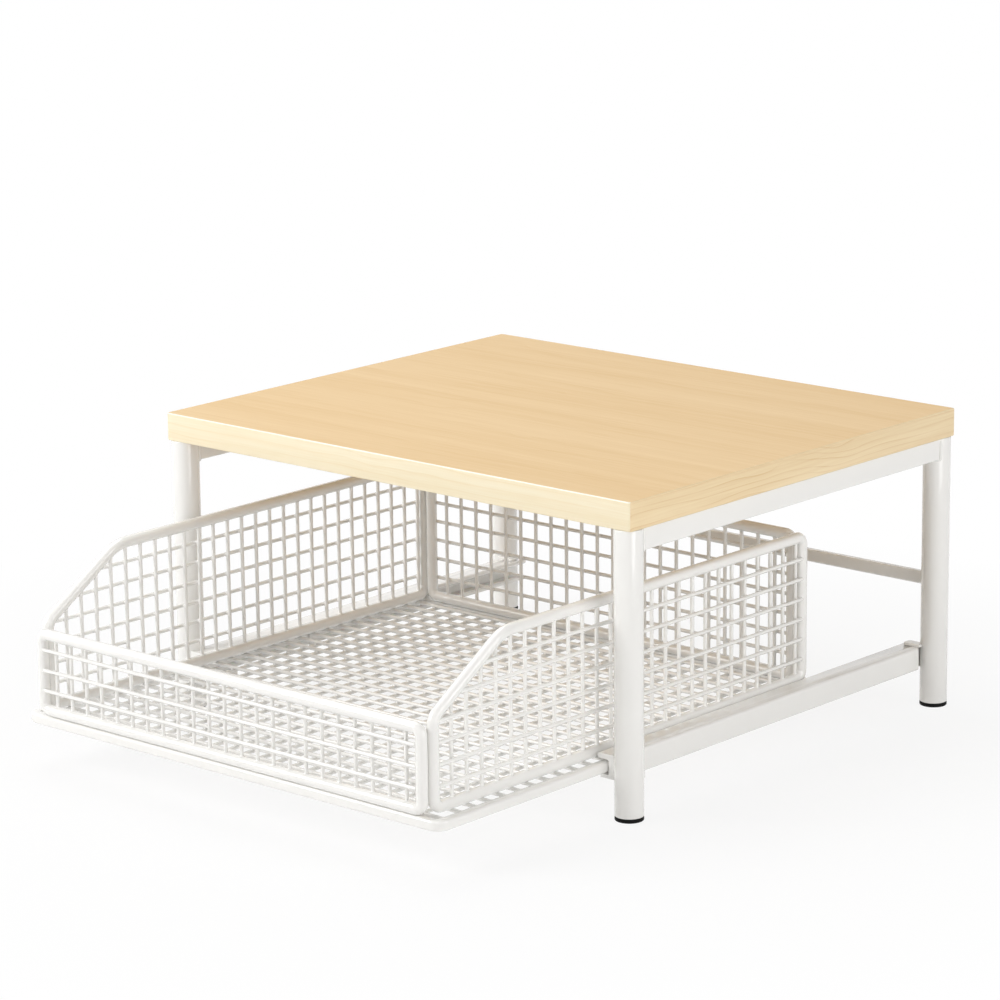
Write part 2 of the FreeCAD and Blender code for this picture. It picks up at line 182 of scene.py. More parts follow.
def turn(name, description, degrees):
    return number(name, description, math.radians(degrees), unit="ROTATION", subtype="ANGLE")


def watts(name, description, default):
    return number(name, description, default, min=0.0, unit="POWER")


def count(name, description, default):
    return IntProperty(name=name, description=description, default=default, min=3)


def colour(name, description, default):
    return FloatVectorProperty(name=name, description=description, default=default, size=3,
                               min=0.0, max=1.0, subtype="COLOR")


class StandSizes(bpy.types.PropertyGroup):
    """Sizes of the stand's pieces that the frame doesn't give"""
    band_thickness: length("Edge band", "Thickness of the band glued round the board", 0.001)
    board_corner: length("Board corner", "Radius of the board's upright corners", 0.003)
    board_arris: length("Board arris", "Rounding of the band's long edges", 0.0009)
    glue_groove: length("Glue line", "Groove between the laminate and the band", 0.0002)
    leg_lip: length("Leg lip", "Rounding of the leg's cut ends", 0.0008)
    foot_lip: length("Foot lip", "Rounding of the foot's rim", 0.0009)
    tube_edge: length("Tube edge", "Rounding along the box tubes", 0.0016)
    weld_radius: length("Weld", "Radius of the weld runs on the frame", 0.0017)
    sheet_edge: length("Sheet edge", "Rounding of sheared and pressed edges", 0.0003)
    web_thickness: length("Channel web", "Thickness of the channel's upright wall", 0.0099)
    lip_thickness: length("Channel lip", "Thickness of the channel's upper flange", 0.0048)
    lower_reach: length("Lower flange", "Width of the channel's lower flange", 0.0187)
    channel_corner: length("Channel corner", "Outer radius of the channel's folds", 0.0022)
    notch_length: length("Notch", "Length of the notch in the channel beside the rear leg", 0.0165)
    leg_sides: count("Leg sides", "Facets round a leg", 96)


class DrawerSizes(bpy.types.PropertyGroup):
    """Sizes of the drawer's pieces that the frame doesn't give"""
    base_corner: length("Base corner", "Outer radius of the base tube's front corners", 0.012)
    base_outer_edge: length("Base outer edge", "Rounding of the base tube's outer edges", 0.0026)
    base_inner_edge: length("Base inner edge", "Rounding of the base tube's inner edges", 0.0008)
    wire_diameter: length("Wire", "Diameter of the grid wires", 0.0034)
    end_column_pitch: length("Front pitch", "Distance between a front or rear panel's uprights", 0.0186)
    side_column_pitch: length("Side pitch", "Distance between a side panel's uprights", 0.01805)
    last_column_gap: length("Last upright", "From a side's rear post to its nearest upright", 0.0088)
    row_pitch: length("Row pitch", "Distance from one level wire to the next", 0.0182)
    first_row: length("First row", "Height of the lowest level wire above the panel's bottom", 0.0232)
    wire_lap: length("Wire lap", "How far a level wire runs onto the post it is welded to", 0.0026)
    slope_start: length("Slope start", "Height of the side's slope above the panel's bottom", 0.0802)
    slope_end: length("Slope end", "Where the slope reaches full height, behind the side's post", 0.084)
    foot_bend: length("Side foot bend", "Radius of a side panel's lower bends", 0.008)
    rear_bend: length("Rear bend", "Radius of the bends at the rear top corners", 0.007)
    slope_bend: length("Slope bend", "Radius of the bend at the slope's upper end", 0.040)
    front_bend: length("Front bend", "Radius of the bend at the slope's lower end", 0.014)
    small_bend: length("Small bend", "Radius of the end panels' other bends", 0.007)
    nugget: length("Weld spot", "Radius of the weld spot where two wires cross", 0.0021)
    rod_sides: count("Rod sides", "Facets round a frame rod", 20)
    wire_sides: count("Wire sides", "Facets round a grid wire", 12)
    bend_steps: count("Bend steps", "Facets round a rod's bend", 10)


class FinishColours(bpy.types.PropertyGroup):
    """Colours of the finishes"""
    coat: colour("Powder coat", "Warm white of the metalwork", (0.86, 0.85, 0.825))
    top_light: colour("Laminate light", "Pale part of the board's grain", (0.85, 0.61, 0.32))
    top_dark: colour("Laminate dark", "Darker streaks of the board's grain", (0.74, 0.49, 0.215))
    band_light: colour("Band light", "Pale part of the edge band's grain", (0.91, 0.825, 0.63))
    band_dark: colour("Band dark", "Darker lines of the edge band's grain", (0.85, 0.72, 0.48))
    # Painted highlight: the pale colour of the front and rear bands' rounded upper arrises, in place of
    # the lamp's reflection there.
    band_trim: colour("Band trim", "Pale trimmed edge along the front and rear bands", (0.95, 0.93, 0.86))
    side_light: colour("Side band light", "Pale part of the side bands' grain", (0.90, 0.74, 0.48))
    side_dark: colour("Side band dark", "Darker lines of the side bands' grain", (0.74, 0.52, 0.27))
    foot: colour("Foot", "Black plastic of the feet", (0.004, 0.004, 0.004))
    bumper: colour("Bumper", "Clear soft plastic of the bumpers", (0.80, 0.80, 0.78))
    glide: colour("Glide", "Natural nylon of the glide strips and plugs", (0.84, 0.83, 0.79))
    zinc: colour("Zinc", "Zinc plating of the screws", (0.62, 0.62, 0.64))


class StageSettings(bpy.types.PropertyGroup):
    """The camera, the lamps and the floor"""
    azimuth: turn("Azimuth", "How far the camera stands round to the right", 41.51)
    descent: turn("Descent", "How far the camera looks down", 13.766)
    roll: turn("Roll", "How far the camera leans", -0.6175)
    camera_place: FloatVectorProperty(name="Camera place", description="Where the camera stands",
                                      default=(2.3021, -2.58075, 1.0590), subtype="TRANSLATION")
    lens: number("Lens", "Focal length in millimetres", 145.58, unit="CAMERA")
    floor_colour: colour("Floor", "Pale floor", (0.86, 0.86, 0.86))
    shadow_share: number("Shadow", "How much of the floor's own shading the camera sees", 0.15,
                         min=0.0, max=1.0, subtype="FACTOR")
    shadow_near: length("Shadow near", "Distance within which the floor's shading shows fully", 0.38)
    shadow_far: length("Shadow far", "Distance beyond which the floor is plain white", 0.78)
    sky_colour: colour("Sky colour", "Tint of the surroundings' light", (1.0, 0.985, 0.96))
    sky_bright: number("Sky", "Brightness of the surroundings", 0.285)
    sky_dark: number("Sky behind", "Brightness low down behind the object", 0.175)
    key_power: watts("Key", "Power of the main lamp", 70.0)
    fill_power: watts("Fill", "Power of the side lamp", 16.5)
    top_power: watts("Top", "Power of the overhead lamp", 21.0)
    low_power: watts("Low", "Power of the low side lamp", 12.5)
    front_power: watts("Front", "Power of the front lamp", 10.0)


# Selecting and editing


def rest_selection():
    """Leaves edit mode and deselects everything."""
    if bpy.context.object and bpy.context.object.mode != "OBJECT":
        bpy.ops.object.mode_set(mode="OBJECT")
    bpy.ops.object.select_all(action="DESELECT")


def work_on(piece):
    """Makes the piece the only selected object, and the active one."""
    rest_selection()
    piece.hide_set(False)
    piece.select_set(True)
    bpy.context.view_layer.objects.active = piece


@contextmanager
def editing(piece):
    """Edit mode on the piece, with all of it selected at first."""
    work_on(piece)
    bpy.ops.object.mode_set(mode="EDIT")
    bpy.ops.mesh.select_all(action="SELECT")
    yield
    bpy.ops.object.mode_set(mode="OBJECT")


def pick(piece, kind, test):
    """Selects the vertices, edges or faces that, in edit mode, pass the test.

    The test gets a vertex's place, an edge's two ends, or a face's middle and normal.
    """
    bpy.ops.mesh.select_mode(type=kind)
    bpy.ops.mesh.select_all(action="DESELECT")
    mesh = bmesh.from_edit_mesh(piece.data)
    if kind == "VERT":
        chosen = [vertex for vertex in mesh.verts if test(vertex.co)]
    elif kind == "EDGE":
        chosen = [edge for edge in mesh.edges if test(edge.verts[0].co, edge.verts[1].co)]
    else:
        chosen = [face for face in mesh.faces if test(face.calc_center_median(), face.normal)]
    for part in chosen:
        part.select_set(True)
    bmesh.update_edit_mesh(piece.data)


def runs_along(axis):
    """A test for edges that run along the axis."""
    return lambda first, second: abs((second - first).normalized().dot(axis)) > STRAIGHT


def lies_at(axis, *levels):
    """A test for edges that lie across the axis, at one of the levels on it."""
    return lambda first, second: any(abs(first.dot(axis) - level) < NEAR
                                     and abs(second.dot(axis) - level) < NEAR for level in levels)


def all_of(*tests):
    """A test for edges that pass all the tests."""
    return lambda first, second: all(test(first, second) for test in tests)


# Places


def at(place, **coordinates):
    """The place with some of its coordinates replaced."""
    moved = place.copy()
    for axis, value in coordinates.items():
        setattr(moved, axis, value)
    return moved


def middle(node):
    low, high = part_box(node)
    return (low + high) / 2


def half_width(node):
    """Half of the node's width along X: the radius of an upright round one."""
    low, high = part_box(node)
    return (high.x - low.x) / 2


def between(start, end, steps):
    """Places from start to end, with so many steps between them."""
    return [start + (end - start) * index / steps for index in range(steps + 1)]


def even_places(start, end, pitch):
    """Places between start and end, one pitch apart, with equal margins."""
    total = max(1, int((end - start) / pitch + PITCH_SLACK))
    first = (start + end) / 2 - (total - 1) * pitch / 2
    return [first + index * pitch for index in range(total)]


def stepped_places(start, end, pitch):
    """Places from start towards end, one pitch apart."""
    step = math.copysign(pitch, end - start)
    return [start + index * step for index in range(int((end - start) / step) + 1)]


def facing(direction):
    """The rotation that turns +Z to the direction."""
    return direction.to_track_quat("Z", "Y").to_euler()


# Adding and shaping pieces


def settled(name):
    """The object that an operator has just added, named and with its place in its mesh."""
    piece = bpy.context.object
    piece.name = name
    piece.data.name = name
    bpy.ops.object.transform_apply(location=True, rotation=True, scale=True)
    return piece


def add_box(name, low, high):
    rest_selection()
    bpy.ops.mesh.primitive_cube_add(size=1, location=(low + high) / 2)
    bpy.context.object.scale = high - low
    return settled(name)


def add_cylinder(name, start, end, radius, sides):
    rest_selection()
    along = end - start
    bpy.ops.mesh.primitive_cylinder_add(vertices=sides, radius=radius, depth=along.length,
                                        location=(start + end) / 2, rotation=facing(along))
    return settled(name)


def upright(name, centre, bottom, top, radius, sides):
    """A cylinder that stands on the bottom level and reaches the top one."""
    return add_cylinder(name, at(centre, z=bottom), at(centre, z=top), radius, sides)


def round_edges(piece, radius, test, steps):
    """Rounds the edges that pass the test."""
    with editing(piece):
        pick(piece, "EDGE", test)
        bpy.ops.mesh.bevel(offset=radius, segments=steps, affect="EDGES")


def rounded_box(name, low, high, radius, test, steps):
    """A box with the edges that pass the test rounded."""
    box = add_box(name, low, high)
    round_edges(box, radius, test, steps)
    return box


def round_rims(piece, radius, axis, steps):
    """Rounds the rims of the flat end faces that look along the axis."""
    levels = [vertex.co.dot(axis) for vertex in piece.data.vertices]
    round_edges(piece, radius, lies_at(axis, min(levels), max(levels)), steps)


def apply_modifier(piece, kind, **settings):
    """Adds a modifier to the piece with the settings, and applies it."""
    work_on(piece)
    bpy.ops.object.modifier_add(type=kind)
    modifier = piece.modifiers[-1]
    for setting, value in settings.items():
        setattr(modifier, setting, value)
    bpy.ops.object.modifier_apply(modifier=modifier.name)


def cut_away(piece, cutter):
    """Takes the cutter's shape out of the piece, and removes the cutter."""
    apply_modifier(piece, "BOOLEAN", operation="DIFFERENCE", solver="EXACT", object=cutter)
    bpy.data.objects.remove(cutter)


def cut_to_leg(piece, corner):
    """Shapes the piece to the outside of the leg that it is welded to."""
    node = "leg_" + corner
    centre = middle(node)
    reach = Z_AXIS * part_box(node)[1].z
    radius = half_width(node) - NEAR
    cut_away(piece, add_cylinder("cutter", centre - reach, centre + reach, radius, CUTTER_SIDES))


def copied(piece, name, step):
    """A copy of the piece with its own mesh, moved by the step."""
    twin = piece.copy()
    twin.data = piece.data.copy()
    twin.name = name
    twin.data.name = name
    twin.data.transform(Matrix.Translation(step))
    bpy.context.scene.collection.objects.link(twin)
    return twin


def joined(name, pieces):
    """One object made of the pieces."""
    rest_selection()
    for piece in pieces:
        piece.select_set(True)
    bpy.context.view_layer.objects.active = pieces[0]
    if len(pieces) > 1:
        bpy.ops.object.join()
    pieces[0].name = name
    pieces[0].data.name = name
    return pieces[0]


def scattered(name, model, places):
    """The model repeated at each place as one object. The model itself is removed."""
    copies = [copied(model, name, place) for place in places]
    bpy.data.objects.remove(model)
    return joined(name, copies)


def mirrored(piece, name):
    """The same piece on the other side of the middle plane, with its faces outwards."""
    twin = copied(piece, name, Vector())
    twin.data.transform(Matrix.Scale(-1, 4, X_AXIS))
    twin.data.flip_normals()
    return twin


def softened(node, name, edge):
    """A copy of a CAD node with its triangles merged into faces and its sharp edges rounded."""
    rest_selection()
    piece = bpy.data.objects.new(name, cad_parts[node].data.copy())
    bpy.context.scene.collection.objects.link(piece)
    piece.data.name = name
    with editing(piece):
        bpy.ops.mesh.customdata_custom_splitnormals_clear()
        bpy.ops.mesh.remove_doubles(threshold=NEAR / 2)
        bpy.ops.mesh.dissolve_limited(angle_limit=MERGE_ANGLE)
    apply_modifier(piece, "BEVEL", width=edge, segments=2, limit_method="ANGLE", angle_limit=SHARP_ANGLE)
    return piece


def sweep(start, corners, radii, end, steps):
    """Carries the selected profile along straight runs and round the bends at the corners."""
    place = start
    for corner, following, radius in zip(corners, (*corners[1:], end), radii):
        back = (place - corner).normalized()
        ahead = (following - corner).normalized()
        half_angle = back.angle(ahead) / 2
        reach = radius / math.tan(half_angle)
        centre = corner + (back + ahead).normalized() * (radius / math.sin(half_angle))
        entry = corner + back * reach
        bpy.ops.mesh.extrude_region_move(TRANSFORM_OT_translate={"value": entry - place})
        bpy.ops.mesh.spin(steps=steps, angle=2 * half_angle - math.pi, center=centre,
                          axis=ahead.cross(back).normalized())
        place = corner + ahead * reach
    bpy.ops.mesh.extrude_region_move(TRANSFORM_OT_translate={"value": end - place})
    bpy.ops.mesh.select_all(action="SELECT")


def bent_ring(name, corners, radii, radius, sides, steps):
    """A closed ring of round rod, bent at the corners."""
    start = (corners[-1] + corners[0]) / 2
    rest_selection()
    bpy.ops.mesh.primitive_circle_add(vertices=sides, radius=radius, location=start,
                                      rotation=facing(corners[0] - start))
    ring = settled(name)
    with editing(ring):
        sweep(start, corners, radii, start, steps)
        bpy.ops.mesh.remove_doubles(threshold=NEAR)
        bpy.ops.mesh.normals_make_consistent(inside=False)
    return ring


def weld_run(name, points, radius):
    """A smooth run of weld through the points, thinner at its two ends."""
    rest_selection()
    bpy.ops.curve.primitive_nurbs_path_add()
    curve = bpy.context.object.data
    spline = curve.splines[0]
    spline.points.add(len(points) - len(spline.points))
    for place, point in zip(spline.points, points):
        place.co = (*point, 1)
        place.radius = 1.0
    spline.points[0].radius = WELD_END_SHARE
    spline.points[-1].radius = WELD_END_SHARE
    spline.use_endpoint_u = True
    curve.resolution_u = 2
    curve.bevel_depth = radius
    curve.bevel_resolution = 3
    curve.use_fill_caps = True
    bpy.ops.object.convert(target="MESH")
    return settled(name)


def weld_spot(radius, height, axis):
    """A low round spot of weld at the origin, flattened along the axis."""
    rest_selection()
    bpy.ops.mesh.primitive_uv_sphere_add(segments=8, ring_count=6, radius=radius)
    spot = bpy.context.object
    spot.scale = [height / radius if axis[index] else 1.0 for index in range(3)]
    return settled("weld_spot")


def finished(piece, body, slot, *nodes):
    """Gives the piece its slot's materials, and ties it to its body and to the nodes it stands for."""
    work_on(piece)
    bpy.ops.object.shade_smooth_by_angle(angle=SHARP_ANGLE)
    piece.data.materials.clear()
    for name in FINISHES[slot]:
        piece.data.materials.append(finish(name))
    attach(piece, body)
    if nodes:
        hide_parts(*nodes)


def coated(piece, body, *nodes):
    """Finishes a piece of the powder-coated metalwork."""
    finished(piece, body, "white_paint", *nodes)


def finished_pairs(body, *pairs):
    """Finishes each piece on the right and its mirror image on the left."""
    for right, slot, node in pairs:
        left = mirrored(right, right.name.replace("right", "left"))
        finished(right, body, slot, node + "_right")
        finished(left, body, slot, node + "_left")


# Shader nodes


def feed(tree, entry, value):
    """Gives an input its value, or links it to the socket that feeds it."""
    if isinstance(value, bpy.types.NodeSocket):
        tree.links.new(value, entry)
    else:
        entry.default_value = value


def feed_all(tree, node, inputs):
    """Feeds a node's inputs. Their names may have _ for a space."""
    for name, value in inputs.items():
        feed(tree, node.inputs[name.replace("_", " ")], value)


def add_node(tree, kind, settings=None, **inputs):
    """A shader node with its settings and inputs."""
    node = tree.nodes.new(kind)
    for setting, value in (settings or {}).items():
        setattr(node, setting, value)
    feed_all(tree, node, inputs)
    return node


def math_node(tree, operation, first, *others):
    """Math nodes that bring in the other numbers or sockets one by one."""
    for other in others:
        node = add_node(tree, "ShaderNodeMath", {"operation": operation})
        feed(tree, node.inputs[0], first)
        feed(tree, node.inputs[1], other)
        first = node.outputs[0]
    return first


def blend_colours(tree, factor, first, second):
    node = add_node(tree, "ShaderNodeMix", {"data_type": "RGBA"})
    sockets = {socket.identifier: socket for socket in (*node.inputs, *node.outputs)}
    for identifier, value in (("Factor_Float", factor), ("A_Color", first), ("B_Color", second)):
        feed(tree, sockets[identifier], value)
    return sockets["Result_Color"]


def noise(tree, vector, scale=1.0, detail=2.0, roughness=0.5, distortion=0.0):
    return add_node(tree, "ShaderNodeTexNoise", Vector=vector, Scale=scale, Detail=detail,
                    Roughness=roughness, Distortion=distortion).outputs["Fac"]


def ranged(tree, value, given, wanted):
    """The value brought from the given range to the wanted one."""
    return add_node(tree, "ShaderNodeMapRange", Value=value, From_Min=given[0], From_Max=given[1],
                    To_Min=wanted[0], To_Max=wanted[1]).outputs["Result"]


def object_place(tree):
    return add_node(tree, "ShaderNodeTexCoord").outputs["Object"]


def surface_group(name, inputs):
    """A node group that puts out a surface, with its named inputs and the outputs to fill."""
    tree = bpy.data.node_groups.new(name, "ShaderNodeTree")
    outputs = {"Colour": "Color", "Roughness": "Float", "Height": "Float"}
    for direction, sockets in (("INPUT", inputs), ("OUTPUT", outputs)):
        for label, kind in sockets.items():
            tree.interface.new_socket(name=label, in_out=direction, socket_type="NodeSocket" + kind)
    return tree, tree.nodes.new("NodeGroupInput").outputs, tree.nodes.new("NodeGroupOutput").inputs


def build_skin_group(name):
    """Fine texture of a sprayed or moulded skin: its tone, roughness and height."""
    tree, given, made = surface_group(name, {"Colour": "Color", "Grain Size": "Float",
                                             "Variation": "Float", "Roughness": "Float"})
    add, multiply = partial(math_node, tree, "ADD"), partial(math_node, tree, "MULTIPLY")
    place = object_place(tree)
    grain_scale = math_node(tree, "DIVIDE", 1.0, given["Grain Size"])
    ripple = noise(tree, place, grain_scale, roughness=0.45)
    specks = noise(tree, place, multiply(grain_scale, 4.7), detail=1.0)
    clouds = noise(tree, place, 16.0, detail=3.0)
    swing = multiply(add(clouds, -0.5), given["Variation"])
    rough_swing = multiply(add(ripple, -0.5), 0.12)
    toned = add_node(tree, "ShaderNodeVectorMath", {"operation": "SCALE"}, Vector=given["Colour"],
                     Scale=add(1.0, swing))
    feed(tree, made["Colour"], toned.outputs["Vector"])
    feed(tree, made["Roughness"], add(given["Roughness"], add(rough_swing, multiply(swing, 1.5))))
    feed(tree, made["Height"], add(multiply(ripple, 0.75), multiply(specks, 0.25)))
    return tree


def build_grain_group(name):
    """Wood grain along the vector's X: growth lines, streaks and short pores."""
    tree, given, made = surface_group(name, {"Vector": "Vector", "Light": "Color", "Dark": "Color",
                                             **dict.fromkeys(GRAIN_VALUES, "Float")})
    add, multiply = partial(math_node, tree, "ADD"), partial(math_node, tree, "MULTIPLY")

    def grain_noise(lengthwise, across, **settings):
        """Noise with so many features to the metre along the grain and across it."""
        mapping = add_node(tree, "ShaderNodeMapping", Vector=given["Vector"],
                           Scale=(lengthwise, across, across))
        return noise(tree, mapping.outputs["Vector"], **settings)

    place = add_node(tree, "ShaderNodeSeparateXYZ", Vector=given["Vector"]).outputs
    climb = multiply(add(place["Y"], place["Z"]), given["Line Count"])
    waves = multiply(grain_noise(4.0, 16.0, distortion=0.6), given["Waviness"])
    wobble = multiply(grain_noise(22.0, 160.0), 0.12)
    turns = math_node(tree, "FRACT", add(climb, waves, wobble), 0.0)
    late_wood = math_node(tree, "POWER", turns, given["Line Sharpness"])
    drop = ranged(tree, turns, (0.97, 1.0), (1.0, 0.0))
    fading = ranged(tree, grain_noise(9.0, 60.0), (0.38, 0.6), (0.25, 1.0))
    streaks = grain_noise(7.0, 340.0, detail=3.0, roughness=0.55)
    streaking = add(ranged(tree, streaks, (0.35, 0.75), (0.0, 0.6)),
                    ranged(tree, grain_noise(26.0, 760.0), (0.35, 0.7), (0.0, 0.4)))
    broad = ranged(tree, grain_noise(2.2, 38.0, distortion=0.3), (0.3, 0.7), (0.0, 0.4))
    pores = ranged(tree, grain_noise(60.0, 1900.0, detail=1.0), (0.62, 0.74), (0.0, 1.0))
    tone = add(multiply(late_wood, drop, fading, given["Line Strength"]),
               multiply(streaking, given["Streak Strength"]), broad, multiply(pores, 0.10))
    tone = math_node(tree, "MINIMUM", tone, 1.0)
    feed(tree, made["Colour"], blend_colours(tree, tone, given["Light"], given["Dark"]))
    feed(tree, made["Roughness"], ranged(tree, tone, (0.0, 1.0), (0.42, 0.50)))
    feed(tree, made["Height"], add(multiply(pores, -0.6), multiply(streaks, 0.4)))
    return tree


def new_material(name, **inputs):
    """A material, and its node tree and Principled shader, whose constant inputs are given."""
    material = bpy.data.materials.new(name)
    material.use_nodes = True
    tree = material.node_tree
    shader = tree.nodes["Principled BSDF"]
    feed_all(tree, shader, inputs)
    return material, tree, shader


def dress_shader(tree, shader, build, group_name, bump_depth, bump_strength, **values):
    """Feeds the shader from a surface group, which is built the first time it is asked for."""
    group = bpy.data.node_groups.get(group_name) or build(group_name)
    surface = add_node(tree, "ShaderNodeGroup", {"node_tree": group}, **values).outputs
    bump = add_node(tree, "ShaderNodeBump", Strength=bump_strength, Distance=bump_depth,
                    Height=surface["Height"])
    feed_all(tree, shader, {"Base Color": surface["Colour"], "Roughness": surface["Roughness"],
                            "Normal": bump.outputs["Normal"]})


def build_skin(name, colour_name, roughness, grain_size, variation, bump_depth, inputs):
    """A sprayed or moulded finish."""
    base = getattr(bpy.context.scene.finish_colours, colour_name)
    tree, shader = new_material(name, **inputs)[1:]
    dress_shader(tree, shader, build_skin_group, "Fine skin", bump_depth, 1.0, Colour=(*base, 1.0),
                 Grain_Size=grain_size, Variation=variation, Roughness=roughness)


def build_wood(name, light, dark, turned, coat_weight, grain_values):
    """Wood-look laminate with its grain along X before it is turned about Z."""
    light, dark = (getattr(bpy.context.scene.finish_colours, shade) for shade in (light, dark))
    tree, shader = new_material(name, Specular_IOR_Level=0.3, Coat_Weight=coat_weight,
                                Coat_Roughness=0.2)[1:]
    mapping = add_node(tree, "ShaderNodeMapping", Vector=object_place(tree), Rotation=(0, 0, turned))
    dress_shader(tree, shader, build_grain_group, "Wood grain", LAMINATE_RELIEF, 0.6,
                 Vector=mapping.outputs["Vector"], Light=(*light, 1.0), Dark=(*dark, 1.0),
                 **dict(zip(GRAIN_VALUES, grain_values)))


def finish(name):
    """The material of that name, built the first time it is asked for."""
    if name not in bpy.data.materials:
        if name in WOODS:
            build_wood(name, *WOODS[name])
        else:
            build_skin(name, *SKINS[name])
    return bpy.data.materials[name]


# The stand


class STAND_OT_board(bpy.types.Operator):
    """Models the board: its laminated core and the band glued round its edge"""
    bl_idname = "stand.board"
    bl_label = "Board"

    def execute(self, context):
        sizes = context.scene.stand_sizes
        core = rounded_box("board_core", *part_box("board"), sizes.board_corner - sizes.band_thickness,
                           runs_along(Z_AXIS), steps=4)
        round_rims(core, sizes.glue_groove, Z_AXIS, steps=1)
        finished(core, "stand", "board_top", "board")

        low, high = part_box("edge_band")
        band = rounded_box("board_edge_band", low, high, sizes.board_corner, runs_along(Z_AXIS), steps=8)
        with editing(band):
            pick(band, "FACE", lambda centre, normal: abs(normal.z) > FLAT)
            bpy.ops.mesh.delete(type="FACE")
        apply_modifier(band, "SOLIDIFY", thickness=sizes.band_thickness, offset=-1)
        self.round_arrises(band, low, high, sizes)
        finished(band, "stand", "board_edge", "edge_band")
        self.share_out_faces(band, high.x - sizes.board_corner * SIDE_FACE_SHARE)
        return {"FINISHED"}

    def round_arrises(self, band, low, high, sizes):
        """Rounds the band's outer long edges and leaves the inner ones, along the glue line."""
        centre = (low + high) / 2
        radius = sizes.board_corner

        def is_outer(place):
            aside = abs(place.x - centre.x) - (high.x - centre.x) + radius
            ahead = abs(place.y - centre.y) - (high.y - centre.y) + radius
            reach = math.hypot(aside, ahead) if min(aside, ahead) > 0 else max(aside, ahead)
            return reach > radius - sizes.band_thickness / 2
        outer_edges = all_of(lies_at(Z_AXIS, low.z, high.z),
                             lambda first, second: is_outer(first) and is_outer(second))
        round_edges(band, sizes.board_arris, outer_edges, steps=4)

    def share_out_faces(self, band, side_x):
        """Gives the band's short sides their own material, and its rounded upper arrises a pale one that
        is a painted highlight.
        """
        long_band, short_band, highlight_slot = range(3)
        for face in band.data.polygons:
            if abs(face.center.x) > side_x:
                face.material_index = short_band
            # The rounded upper arrises get the painted highlight's material.
            elif HIGHLIGHT_TILT < face.normal.z < FLAT:
                face.material_index = highlight_slot
            else:
                face.material_index = long_band


class STAND_OT_legs(bpy.types.Operator):
    """Models the four round legs and the cap in the foot of each"""
    bl_idname = "stand.legs"
    bl_label = "Legs and feet"

    def execute(self, context):
        sizes = context.scene.stand_sizes
        for corner in CORNERS:
            leg, foot = "leg_" + corner, "foot_" + corner
            low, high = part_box(leg)
            tube = upright("leg_tube_" + corner, middle(leg), low.z, high.z, half_width(leg),
                           sizes.leg_sides)
            round_rims(tube, sizes.leg_lip, Z_AXIS, steps=3)
            coated(tube, "stand", leg)
            cap = upright("foot_cap_" + corner, middle(leg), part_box(foot)[0].z, low.z, half_width(foot),
                          sizes.leg_sides)
            round_rims(cap, sizes.foot_lip, Z_AXIS, steps=3)
            self.press_grip(cap)
            finished(cap, "stand", "feet", foot)
        return {"FINISHED"}

    def press_grip(self, cap):
        """Presses grip rings into the cap's underside."""
        with editing(cap):
            pick(cap, "FACE", lambda place, normal: normal.z < -FLAT)
            for width, rise in FOOT_RINGS:
                bpy.ops.mesh.inset(thickness=width, depth=0)
                bpy.ops.mesh.inset(thickness=FOOT_RING_SLOPE, depth=-rise)


